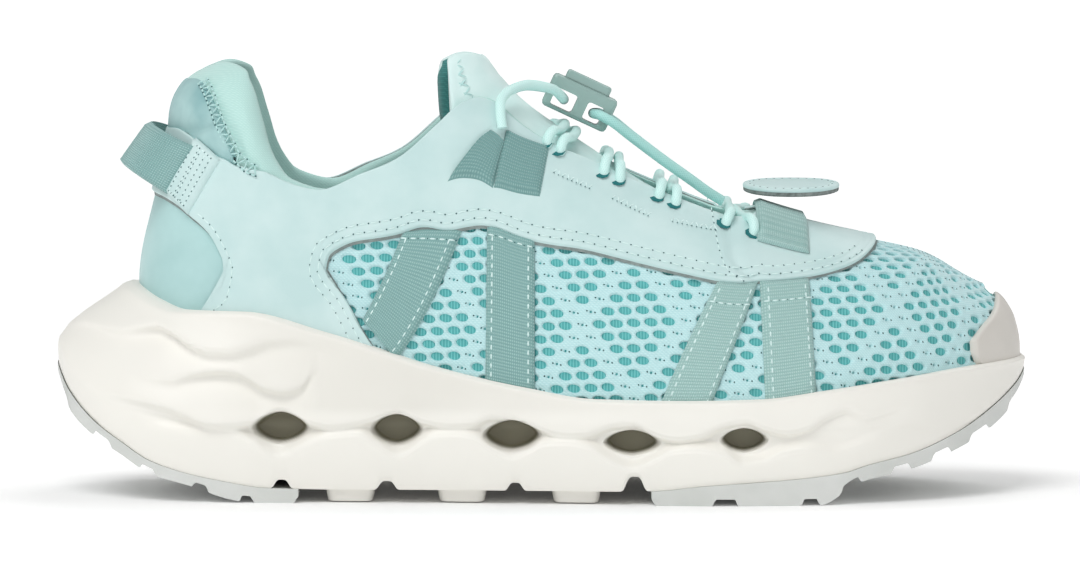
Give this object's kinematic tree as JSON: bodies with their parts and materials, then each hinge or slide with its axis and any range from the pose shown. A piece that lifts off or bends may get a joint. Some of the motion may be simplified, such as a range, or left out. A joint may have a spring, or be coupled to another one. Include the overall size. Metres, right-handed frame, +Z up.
{
  "type": "water shoe",
  "caption": "Right amphibious trail shoe: hollow mesh upper with leather overlays, webbing straps, elastic lace with a cord lock, and a thick sculpted foam sole with rubber tread plates.",
  "frame": {"origin": "centre of the shoe's outline on the floor it stands on", "axes": "+X to the toe, +Y to the inner side of the right foot, +Z up"},
  "size_m": [0.2907, 0.1037, 0.1329],
  "materials": {
    "mesh": "open spacer mesh over a padded lining",
    "leather": "soft synthetic leather, fine nap, raw cut edges",
    "counter": "smooth synthetic leather",
    "webbing": "ribbed flat webbing",
    "lining": "textile lining",
    "foam": "moulded foam, satin skin",
    "rubber": "matt moulded rubber",
    "bumper": "smooth rubber film",
    "cord": "braided elastic cord",
    "plastic": "moulded plastic, fine texture"
  },
  "bodies": {
    "shoe": {"upper": "mesh", "tongue": "leather", "insole": "lining", "midsole": "foam", "outsole_heel": "rubber", "outsole_forefoot": "rubber", "toe_cap": "bumper", "saddle": "leather", "heel_counter": "counter", "heel_tab_outer": "leather", "heel_tab_inner": "leather", "strap_outer_1": "webbing", "strap_outer_2": "webbing", "strap_outer_3": "webbing", "strap_outer_4": "webbing", "strap_inner_1": "webbing", "strap_inner_2": "webbing", "strap_inner_3": "webbing", "strap_inner_4": "webbing", "collar_loop_outer_rear": "webbing", "collar_loop_outer_front": "webbing", "collar_loop_inner_rear": "webbing", "collar_loop_inner_front": "webbing", "keeper_loop": "webbing", "heel_pull": "webbing", "pull_tab": "leather", "lace_crossings": "cord", "cord_loop": "cord", "cord_tail": "cord", "cord_lock_body": "plastic"},
    "button": {"cord_lock_button": "plastic"}
  },
  "joints": [
    {"name": "button_press", "type": "slide", "parent": "shoe", "child": "button", "axis": [-0.4226, 0, -0.9063], "range_m": [0, 0.002], "stiffness_N_per_m": 300}
  ]
}
